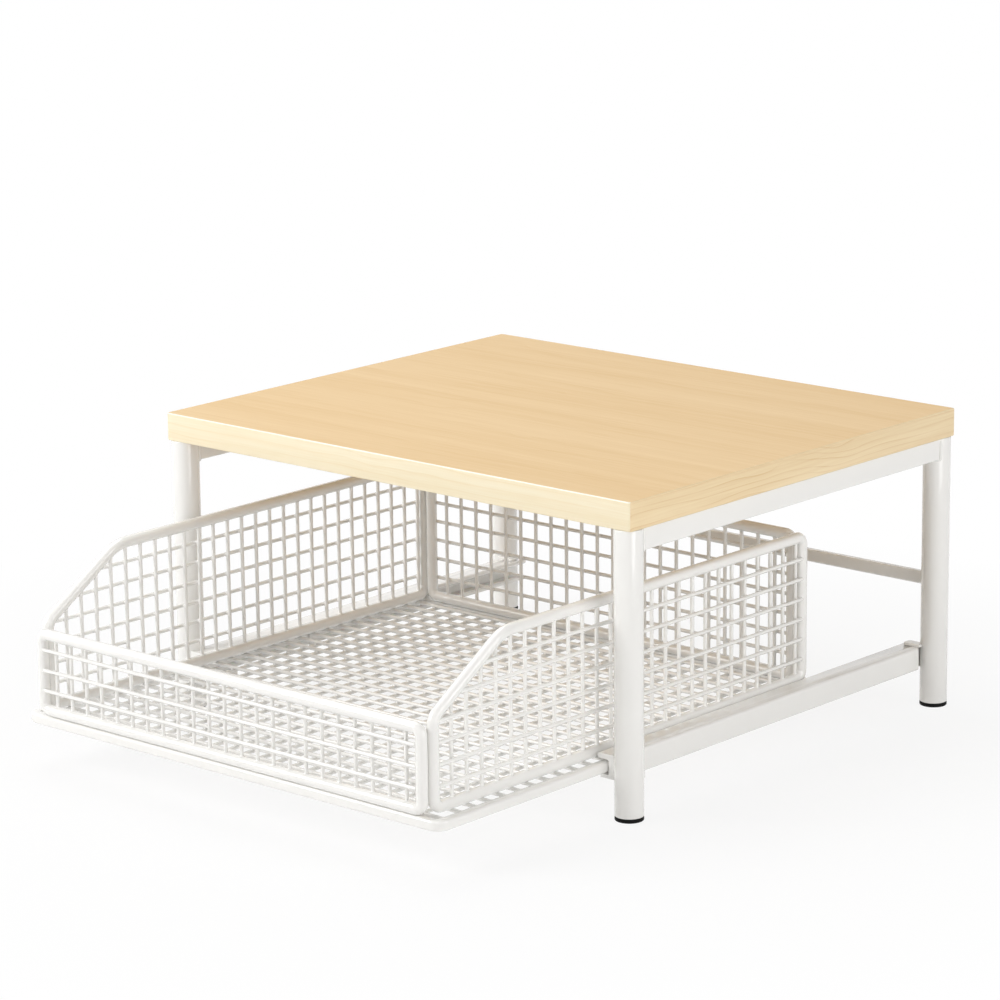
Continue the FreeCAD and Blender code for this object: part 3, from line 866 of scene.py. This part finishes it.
class STAND_OT_rails(bpy.types.Operator):
    """Models the rails under the board, the rear bar, their welds and the bumpers"""
    bl_idname = "stand.rails"
    bl_label = "Rails and rear bar"

    def execute(self, context):
        sizes = context.scene.stand_sizes
        for side in SIDES:
            self.rail(side, sizes)
            self.bumper(side)
        self.rear_bar(sizes)
        return {"FINISHED"}

    def coped_tube(self, name, node, low, high, axis, corners, sizes):
        """A box tube whose ends are shaped to the round legs."""
        tube = rounded_box(name, low, high, sizes.tube_edge, runs_along(axis), steps=4)
        for corner in corners:
            cut_to_leg(tube, corner)
        coated(tube, "stand", node)

    def rail(self, side, sizes):
        node = "top_rail_" + side
        low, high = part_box(node)
        corners = ("front_" + side, "rear_" + side)
        front, rear = (middle("leg_" + corner) for corner in corners)
        self.coped_tube("rail_" + side, node, at(low, y=front.y), at(high, y=rear.y), Y_AXIS,
                        corners, sizes)
        for corner, leg, direction in zip(corners, (front, rear), (1, -1)):
            points = [Vector((x, leg.y + direction * self.leg_face(corner, x - leg.x), z))
                      for x, z in self.rail_outline(low, high, sizes)]
            coated(weld_run("rail_weld_" + corner, points, sizes.weld_radius), "stand")

    def leg_face(self, corner, aside):
        """How far the leg's surface lies from its middle, so far to the side of it."""
        return math.sqrt(max(half_width("leg_" + corner) ** 2 - aside ** 2, 0))

    def rail_outline(self, low, high, sizes):
        """Down one side of the rail's section, across its bottom and up the other side."""
        corner = sizes.tube_edge * RAIL_WELD_TURN
        top = high.z - sizes.weld_radius * RAIL_WELD_START
        drops = between(top, low.z + sizes.tube_edge, RAIL_WELD_STEPS)
        down = [(low.x, z) for z in drops]
        across = [(x, low.z) for x in between(low.x + corner, high.x - corner, RAIL_WELD_STEPS)]
        return down + across + [(high.x, z) for z in reversed(drops)]

    def rear_bar(self, sizes):
        low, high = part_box("rear_bar")
        corners = ("rear_left", "rear_right")
        left, right = (middle("leg_" + corner) for corner in corners)
        self.coped_tube("rear_stop_bar", "rear_bar", at(low, x=left.x), at(high, x=right.x), X_AXIS,
                        corners, sizes)
        centre = (low + high) / 2
        half = (high - low) / 2 * BAR_WELD_INSET
        for side, corner, leg, direction in zip(SIDES, corners, (left, right), (1, -1)):
            points = []
            for angle in between(0, 2 * math.pi, BAR_WELD_STEPS):
                reach = 1 / max(abs(math.cos(angle)), abs(math.sin(angle)))
                y = centre.y + half.y * reach * math.cos(angle)
                z = centre.z + half.z * reach * math.sin(angle)
                points.append(Vector((leg.x + direction * self.leg_face(corner, y - leg.y), y, z)))
            coated(weld_run("bar_weld_" + side, points, sizes.weld_radius * BAR_WELD_SHARE), "stand")

    def bumper(self, side):
        """A soft domed pad stuck to the rear bar."""
        node = "bumper_" + side
        low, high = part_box(node)
        centre = middle(node)
        pad = add_cylinder("bumper_pad_" + side, at(centre, y=low.y), at(centre, y=high.y),
                           half_width(node), BUMPER_SIDES)
        round_edges(pad, (high.y - low.y) * BUMPER_DOME_SHARE, lies_at(Y_AXIS, low.y), steps=6)
        finished(pad, "stand", "bumpers", node)


class STAND_OT_fixings(bpy.types.Operator):
    """Models the tabs under the board and their screws"""
    bl_idname = "stand.fixings"
    bl_label = "Tabs and screws"

    def execute(self, context):
        sizes = context.scene.stand_sizes
        for corner in CORNERS:
            node, screw_node = "board_tab_" + corner, "board_screw_" + corner
            low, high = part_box(node)
            free_corners = all_of(runs_along(Z_AXIS), lies_at(X_AXIS, min(low.x, high.x, key=abs)))
            tab = rounded_box("fixing_tab_" + corner, low, high, TAB_CORNER, free_corners, steps=6)
            cut_away(tab, upright("cutter", middle(screw_node), low.z - CUT_MARGIN, high.z + CUT_MARGIN,
                                  TAB_HOLE_RADIUS, TAB_HOLE_SIDES))
            round_rims(tab, sizes.sheet_edge, Z_AXIS, steps=2)
            coated(tab, "stand", node)
            self.screw("screw_" + corner, screw_node, low.z)
        return {"FINISHED"}

    def screw(self, name, node, seat):
        """A pan-head screw with a cross recess."""
        low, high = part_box(node)
        centre = middle(node)
        base = at(centre, z=low.z)
        head = upright("head", centre, low.z, seat, half_width(node), SCREW_HEAD_SIDES)
        round_edges(head, SCREW_CROWN, lies_at(Z_AXIS, low.z), steps=6)
        for reach in SCREW_RECESS:
            cut_away(head, add_box("cutter", base - reach, base + reach))
        shank = upright("shank", centre, seat - NEAR, high.z, SCREW_SHANK_RADIUS, SCREW_SHANK_SIDES)
        finished(joined(name, [head, shank]), "stand", "screws", node)


class STAND_OT_channels(bpy.types.Operator):
    """Models the side channels with their saddles, nose plates, glide strips and stop blocks"""
    bl_idname = "stand.channels"
    bl_label = "Side channels"

    def execute(self, context):
        sizes = context.scene.stand_sizes
        edge = sizes.sheet_edge
        finished_pairs(
            "stand",
            (self.channel(sizes), "white_paint", "channel"),
            (softened("channel_saddle_right", "saddle_right", edge * 3), "white_paint", "channel_saddle"),
            (softened("channel_tab_right", "nose_plate_right", edge * 1.5), "white_paint", "channel_tab"),
            (self.block("glide_strip_right", "glide_right", edge), "glides", "glide_strip"),
            (self.block("stop_block_right", "stop_right", edge * 3), "white_paint", "stop_block"))
        return {"FINISHED"}

    def block(self, node, name, edge):
        return rounded_box(name, *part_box(node), edge, lambda first, second: True, steps=2)

    def channel(self, sizes):
        """A folded channel: a web, a thin lower flange and a thick round-nosed upper flange."""
        low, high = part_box("channel_right")
        web_x = high.x - sizes.web_thickness
        lip_bottom = high.z - sizes.lip_thickness
        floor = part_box("glide_strip_right")[0].z
        piece = add_box("runner_channel_right", at(low, x=web_x), high)
        with editing(piece):
            for height in (floor, lip_bottom):
                bpy.ops.mesh.select_all(action="SELECT")
                bpy.ops.mesh.bisect(plane_co=(0, 0, height), plane_no=Z_AXIS)
            pick(piece, "FACE", lambda centre, normal: normal.x < -FLAT and centre.z > lip_bottom)
            bpy.ops.mesh.extrude_region_move(TRANSFORM_OT_translate={"value": (low.x - web_x, 0, 0)})
            pick(piece, "FACE", lambda centre, normal: normal.x < -FLAT and centre.z < floor)
            reach = sizes.web_thickness - sizes.lower_reach
            bpy.ops.mesh.extrude_region_move(TRANSFORM_OT_translate={"value": (reach, 0, 0)})
        for radius, x, heights, steps in (
                (sizes.lip_thickness * NOSE_SHARE, low.x, (high.z, lip_bottom), 6),
                (sizes.channel_corner, high.x, (high.z, low.z), 5),
                (sizes.channel_corner * INNER_FOLD_SHARE, web_x, (lip_bottom,), 4),
                (sizes.sheet_edge, high.x - sizes.lower_reach, (low.z, floor), 2)):
            folds = all_of(runs_along(Y_AXIS), lies_at(X_AXIS, x), lies_at(Z_AXIS, *heights))
            round_edges(piece, radius, folds, steps)
        round_rims(piece, sizes.sheet_edge, Y_AXIS, steps=2)
        for corner in ("front_right", "rear_right"):
            cut_to_leg(piece, corner)
        leg_inner_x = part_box("leg_rear_right")[0].x
        notch_low = Vector((leg_inner_x, high.y - sizes.notch_length, low.z - sizes.sheet_edge))
        cut_away(piece, add_box("cutter", notch_low, high + Vector((1, 1, 1)) * sizes.sheet_edge))
        return piece


# The drawer


class DRAWER_OT_base(bpy.types.Operator):
    """Models the drawer's base tube, its rear bar, plugs and catches"""
    bl_idname = "drawer.base"
    bl_label = "Drawer base"

    def execute(self, context):
        sizes = context.scene.drawer_sizes
        self.bent_tube(sizes)
        edge = sizes.base_inner_edge
        bar = rounded_box("base_rear_rail", *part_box("base_rear_bar"), edge, runs_along(X_AXIS), steps=3)
        coated(bar, "drawer", "base_rear_bar")

        low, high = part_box("end_plug_right")
        low.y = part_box("base_tube")[1].y
        plug = rounded_box("runner_plug_right", low, high, edge, runs_along(Y_AXIS), steps=3)
        round_edges(plug, PLUG_ARRIS, lies_at(Y_AXIS, high.y), steps=3)
        low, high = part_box("drawer_catch_right")
        lower_corners = all_of(runs_along(X_AXIS), lies_at(Z_AXIS, low.z))
        catch = rounded_box("catch_right", low, high, CATCH_CORNER, lower_corners, steps=5)
        round_rims(catch, CATCH_ARRIS, X_AXIS, steps=2)
        finished_pairs("drawer", (plug, "glides", "end_plug"), (catch, "white_paint", "drawer_catch"))
        return {"FINISHED"}

    def bent_tube(self, sizes):
        """A flat tube bent round the front, rounder on its outside than on its inside."""
        low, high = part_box("base_tube")
        width = high.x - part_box("base_rear_bar")[1].x
        half = width / 2
        centre_z = (low.z + high.z) / 2
        start = Vector((low.x + half, high.y, centre_z))
        end = at(start, x=high.x - half)
        turns = [at(start, y=low.y + half), at(end, y=low.y + half)]
        rest_selection()
        bpy.ops.mesh.primitive_plane_add(size=1, location=start, rotation=(math.pi / 2, 0, 0))
        bpy.context.object.scale = (width, high.z - low.z, 1)
        tube = settled("base_frame")
        with editing(tube):
            pick(tube, "VERT", lambda place: place.x < start.x)
            bpy.ops.mesh.bevel(offset=sizes.base_outer_edge, segments=6, affect="VERTICES")
            pick(tube, "VERT", lambda place: place.x > start.x + half - NEAR)
            bpy.ops.mesh.bevel(offset=sizes.base_inner_edge, segments=3, affect="VERTICES")
            bpy.ops.mesh.select_all(action="SELECT")
            sweep(start, turns, [sizes.base_corner - half] * 2, end, BASE_BEND_STEPS)
            bpy.ops.mesh.normals_make_consistent(inside=False)
        coated(tube, "drawer", "base_tube")


class DRAWER_OT_floor(bpy.types.Operator):
    """Models the drawer's floor: lengthwise wires, crosswise wires and the welds between them"""
    bl_idname = "drawer.floor"
    bl_label = "Drawer floor"

    def execute(self, context):
        sizes = context.scene.drawer_sizes
        radius = sizes.wire_diameter / 2
        long_low, long_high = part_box("floor_long_wires")
        cross_low, cross_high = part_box("floor_cross_wires")
        long_z = (long_low.z + long_high.z) / 2
        cross_z = (cross_low.z + cross_high.z) / 2
        columns = stepped_places(long_low.x + radius, long_high.x - radius + NEAR, sizes.end_column_pitch)
        front_y, rear_y = cross_low.y + radius, cross_high.y - radius
        rows = side_columns(rear_y - front_y, half_width("side_panel_right"), sizes)
        rows = [front_y, *sorted(front_y + place for place in rows), rear_y]

        for node, name, start, end, places in (
                ("floor_long_wires", "floor_wires_long", Vector((0, long_low.y, long_z)),
                 Vector((0, long_high.y, long_z)), [X_AXIS * x for x in columns]),
                ("floor_cross_wires", "floor_wires_cross", Vector((cross_low.x, 0, cross_z)),
                 Vector((cross_high.x, 0, cross_z)), [Y_AXIS * y for y in rows])):
            wire = add_cylinder("wire", start, end, radius, sizes.wire_sides)
            coated(scattered(name, wire, places), "drawer", node)
        joint_z = (long_z + cross_z) / 2
        crossings = [Vector((x, y, joint_z)) for x in columns for y in rows[1:-1]]
        ends = [Vector((side * cross_high.x, y, cross_z)) for side in (-1, 1) for y in rows]
        tips = [Vector((x, y, long_z)) for x in columns for y in (long_low.y, long_high.y)]
        for name, places, share, axis in (
                ("floor_weld_spots", crossings, FLOOR_SPOT_SHARE, Z_AXIS),
                ("floor_end_welds", ends, FLOOR_END_SPOT_SHARE, X_AXIS),
                ("floor_tip_welds", tips, FLOOR_END_SPOT_SHARE, Y_AXIS)):
            coated(scattered(name, weld_spot(sizes.nugget, radius * share, axis), places), "drawer")
        return {"FINISHED"}


def side_columns(reach, rod_radius, sizes):
    """Upright wires of a side panel, as distances behind its front post."""
    return stepped_places(reach - sizes.last_column_gap, rod_radius, sizes.side_column_pitch)


class Panel:
    """A bent rod frame filled with a grid: upright wires in its plane, level wires outside them.

    Its corners go round from the lower front or left one. With five of them, the last two bound a slope.
    """

    def __init__(self, node, name, corners, radii, outward, sizes):
        self.node, self.name, self.corners, self.radii = node, name, corners, radii
        self.outward, self.sizes = outward, sizes
        self.along = (corners[1] - corners[0]).normalized()
        self.reach = (corners[1] - corners[0]).length
        self.low = corners[0].z
        self.high = max(corner.z for corner in corners)
        low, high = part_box(node)
        self.rod_radius = min(high.x - low.x, high.y - low.y) / 2
        self.wire_radius = sizes.wire_diameter / 2
        self.sloped = len(corners) > 4
        self.slope_foot, self.slope_head = corners[-1], corners[-2]
        self.slope = self.slope_head - self.slope_foot
        self.slope_run = (self.slope_head - corners[0]).dot(self.along)
        if self.sloped:
            self.columns = side_columns(self.reach, self.rod_radius, sizes)
        else:
            self.columns = even_places(self.rod_radius, self.reach - self.rod_radius,
                                       sizes.end_column_pitch)
        self.rows = stepped_places(low.z + sizes.first_row, self.high - self.rod_radius, sizes.row_pitch)

    def level_start(self, height, lap):
        """Where a level wire starts along the panel: past the middle of its front post or slope."""
        if not self.sloped or height <= self.slope_foot.z:
            return lap
        climbed = min((height - self.slope_foot.z) / self.slope.z, 1.0)
        return self.slope_run * climbed + lap * self.slope.length / self.slope.z

    def top_at(self, place):
        """Height of the upper rod's middle at a place along the panel."""
        if not self.sloped:
            return self.high
        return self.slope_foot.z + self.slope.z * min(place / self.slope_run, 1.0)

    def rod_drop(self, place):
        """How far below its middle the upper rod's underside lies, straight down, at a place."""
        if not self.sloped or place >= self.slope_run:
            return self.rod_radius
        return self.rod_radius * self.slope.length / self.slope_run

    def spot_at(self, place, height, step_out):
        return at(self.corners[0] + self.along * place + self.outward * step_out, z=height)

    def wire(self, start, end):
        return add_cylinder("wire", start, end, self.wire_radius, self.sizes.wire_sides)

    def upright_wires(self):
        wires = [self.wire(self.spot_at(place, self.low, 0), self.spot_at(place, self.top_at(place), 0))
                 for place in self.columns]
        return joined(self.name + "_uprights", wires)

    def level_wires(self):
        """Level wires whose rounded ends lap onto the posts."""
        lap = self.rod_radius - self.sizes.wire_lap
        wires = []
        for height in self.rows:
            start = self.spot_at(self.level_start(height, lap), height, self.sizes.wire_diameter)
            end = self.spot_at(self.reach - lap, height, self.sizes.wire_diameter)
            wire = self.wire(start, end)
            round_rims(wire, self.wire_radius * WIRE_END_SHARE, self.along, steps=3)
            wires.append(wire)
        return joined(self.name + "_levels", wires)

    def weld_spots(self):
        """Welds at the crossings, and where the upright wires meet the rods."""
        crossings = [self.spot_at(place, height, self.wire_radius)
                     for place in self.columns for height in self.rows
                     if height < self.top_at(place) - self.rod_radius]
        ends = [self.spot_at(place, height, 0) for place in self.columns
                for height in (self.low + self.rod_radius, self.top_at(place) - self.rod_drop(place))]
        spots = []
        for places, share, axis in ((crossings, 1.0, self.outward), (ends, POST_SPOT_SHARE, Z_AXIS)):
            spot = weld_spot(self.sizes.nugget, self.wire_radius * share, axis)
            spots.append(scattered("spots", spot, places))
        return joined(self.name + "_welds", spots)

    def build(self):
        rod = bent_ring(self.name + "_rod", self.corners, self.radii, self.rod_radius,
                        self.sizes.rod_sides, self.sizes.bend_steps)
        coated(rod, "drawer", self.node)
        for piece in (self.upright_wires(), self.level_wires(), self.weld_spots()):
            coated(piece, "drawer")


class DRAWER_OT_end_panels(bpy.types.Operator):
    """Models the basket's low front panel and its tall rear panel"""
    bl_idname = "drawer.end_panels"
    bl_label = "Front and rear panels"

    def execute(self, context):
        sizes = context.scene.drawer_sizes
        for name, outward, bend in (("front", -1, sizes.small_bend), ("rear", 1, sizes.rear_bend)):
            node = name + "_panel"
            low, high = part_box(node)
            radius = (high.y - low.y) / 2
            left, right = low.x + radius, high.x - radius
            bottom, top = low.z + radius, high.z - radius
            outline = ((left, bottom), (right, bottom), (right, top), (left, top))
            corners = [Vector((x, low.y + radius, z)) for x, z in outline]
            radii = [sizes.small_bend, sizes.small_bend, bend, bend]
            Panel(node, name, corners, radii, Y_AXIS * outward, sizes).build()
        return {"FINISHED"}


class DRAWER_OT_side_panels(bpy.types.Operator):
    """Models the basket's two side panels, which slope down to the front"""
    bl_idname = "drawer.side_panels"
    bl_label = "Side panels"

    def execute(self, context):
        sizes = context.scene.drawer_sizes
        radii = [sizes.foot_bend, sizes.foot_bend, sizes.rear_bend, sizes.slope_bend, sizes.front_bend]
        for name, outward in zip(SIDES, (-1, 1)):
            node = "side_panel_" + name
            low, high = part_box(node)
            radius = half_width(node)
            front, rear = low.y + radius, high.y - radius
            bottom, top = low.z + radius, high.z - radius
            outline = ((front, bottom), (rear, bottom), (rear, top), (front + sizes.slope_end, top),
                       (front, low.z + sizes.slope_start))
            corners = [Vector((middle(node).x, y, z)) for y, z in outline]
            Panel(node, name, corners, radii, X_AXIS * outward, sizes).build()
        return {"FINISHED"}


# The stage


def seen_white(tree, own, white_kind, own_share=0.0):
    """Mixes a shader with plain white for rays that show it straight, in a mirror or through glass."""
    path = add_node(tree, "ShaderNodeLightPath").outputs
    seen = math_node(tree, "MAXIMUM", path["Is Camera Ray"], path["Is Glossy Ray"],
                     path["Is Transmission Ray"])
    white_share = math_node(tree, "MULTIPLY", seen, math_node(tree, "SUBTRACT", 1.0, own_share))
    white = add_node(tree, white_kind, Color=(1, 1, 1, 1), Strength=1.0)
    mix = add_node(tree, "ShaderNodeMixShader")
    for entry, value in zip(mix.inputs, (white_share, own, white.outputs[0])):
        feed(tree, entry, value)
    return mix.outputs["Shader"]


class STAND_OT_stage(bpy.types.Operator):
    """Sets up the floor, the lamps, the surroundings and the camera"""
    bl_idname = "stand.stage"
    bl_label = "Stage"

    def execute(self, context):
        settings = context.scene.stage_settings
        context.scene.view_settings.view_transform = "Standard"
        self.floor(settings)
        self.surroundings(context.scene, settings)
        aim = (frame_low + frame_high) / 2
        for name, (place, size) in LAMPS.items():
            self.lamp(name + "_lamp", Vector(place), aim, size, getattr(settings, name + "_power"))
        self.camera(context.scene, settings)
        return {"FINISHED"}

    def floor(self, settings):
        rest_selection()
        bpy.ops.mesh.primitive_plane_add(size=FLOOR_WIDTH, location=(0, 0, 0))
        floor = settled("floor")
        material, tree, shader = new_material("pale_floor", Roughness=0.8,
                                              Base_Color=(*settings.floor_colour, 1.0))
        distance = add_node(tree, "ShaderNodeVectorMath", {"operation": "LENGTH"},
                            Vector=object_place(tree)).outputs["Value"]
        own_share = ranged(tree, distance, (settings.shadow_near, settings.shadow_far),
                           (settings.shadow_share, 0.0))
        white = seen_white(tree, shader.outputs["BSDF"], "ShaderNodeEmission", own_share)
        feed(tree, tree.nodes["Material Output"].inputs["Surface"], white)
        floor.data.materials.append(material)

    def surroundings(self, scene, settings):
        """A pale sky, darker behind the object, that itself is seen as plain white."""
        world = bpy.data.worlds.new("studio")
        world.use_nodes = True
        tree = world.node_tree
        behind = Vector((-math.sin(settings.azimuth), math.cos(settings.azimuth), 0))
        direction = add_node(tree, "ShaderNodeTexCoord").outputs["Generated"]
        alignment = add_node(tree, "ShaderNodeVectorMath", {"operation": "DOT_PRODUCT"})
        feed(tree, alignment.inputs[0], direction)
        feed(tree, alignment.inputs[1], behind)
        strength = ranged(tree, alignment.outputs["Value"], SKY_FADE,
                          (settings.sky_bright, settings.sky_dark))
        sky = tree.nodes["Background"]
        feed_all(tree, sky, {"Color": (*settings.sky_colour, 1), "Strength": strength})
        white = seen_white(tree, sky.outputs["Background"], "ShaderNodeBackground")
        feed(tree, tree.nodes["World Output"].inputs["Surface"], white)
        scene.world = world

    def lamp(self, name, place, aim, size, power):
        rest_selection()
        bpy.ops.object.light_add(type="AREA", location=place, rotation=facing(place - aim))
        lamp = bpy.context.object
        lamp.name = name
        lamp.data.size = size
        lamp.data.energy = power

    def camera(self, scene, settings):
        """A long lens from the front right, above the board's top and looking down."""
        rest_selection()
        bpy.ops.object.camera_add(location=settings.camera_place)
        camera = bpy.context.object
        looking = (Matrix.Rotation(settings.azimuth, 3, "Z")
                   @ Matrix.Rotation(math.pi / 2 - settings.descent, 3, "X")
                   @ Matrix.Rotation(settings.roll, 3, "Z"))
        camera.rotation_euler = looking.to_euler()
        camera.data.lens = settings.lens
        camera.data.sensor_width = SENSOR_MILLIMETRES
        camera.data.clip_end = VIEW_LIMIT
        scene.camera = camera


class STAND_PT_panel(bpy.types.Panel):
    """Lists the stand's pieces and their sizes"""
    bl_idname = "STAND_PT_panel"
    bl_label = "Microwave stand"
    bl_space_type = "VIEW_3D"
    bl_region_type = "UI"
    bl_category = "Stand"

    def draw(self, context):
        for operator in OPERATORS:
            self.layout.operator(operator.bl_idname)
        for name, group in GROUPS.items():
            box = self.layout.box()
            box.label(text=group.__doc__)
            for field in group.__annotations__:
                box.prop(getattr(context.scene, name), field)


GROUPS = {
    "stand_sizes": StandSizes,
    "drawer_sizes": DrawerSizes,
    "finish_colours": FinishColours,
    "stage_settings": StageSettings,
}
OPERATORS = (
    STAND_OT_board,
    STAND_OT_legs,
    STAND_OT_rails,
    STAND_OT_fixings,
    STAND_OT_channels,
    DRAWER_OT_base,
    DRAWER_OT_floor,
    DRAWER_OT_end_panels,
    DRAWER_OT_side_panels,
    STAND_OT_stage,
)


def register():
    for entry in (*GROUPS.values(), *OPERATORS, STAND_PT_panel):
        bpy.utils.register_class(entry)
    for name, group in GROUPS.items():
        setattr(bpy.types.Scene, name, PointerProperty(type=group))


def unregister():
    for name in GROUPS:
        delattr(bpy.types.Scene, name)
    for entry in (STAND_PT_panel, *reversed(OPERATORS), *reversed(GROUPS.values())):
        bpy.utils.unregister_class(entry)


def main():
    register()
    for operator in OPERATORS:
        category, action = operator.bl_idname.split(".")
        getattr(getattr(bpy.ops, category), action)()
    rest_selection()


if __name__ == "__main__":
    main()
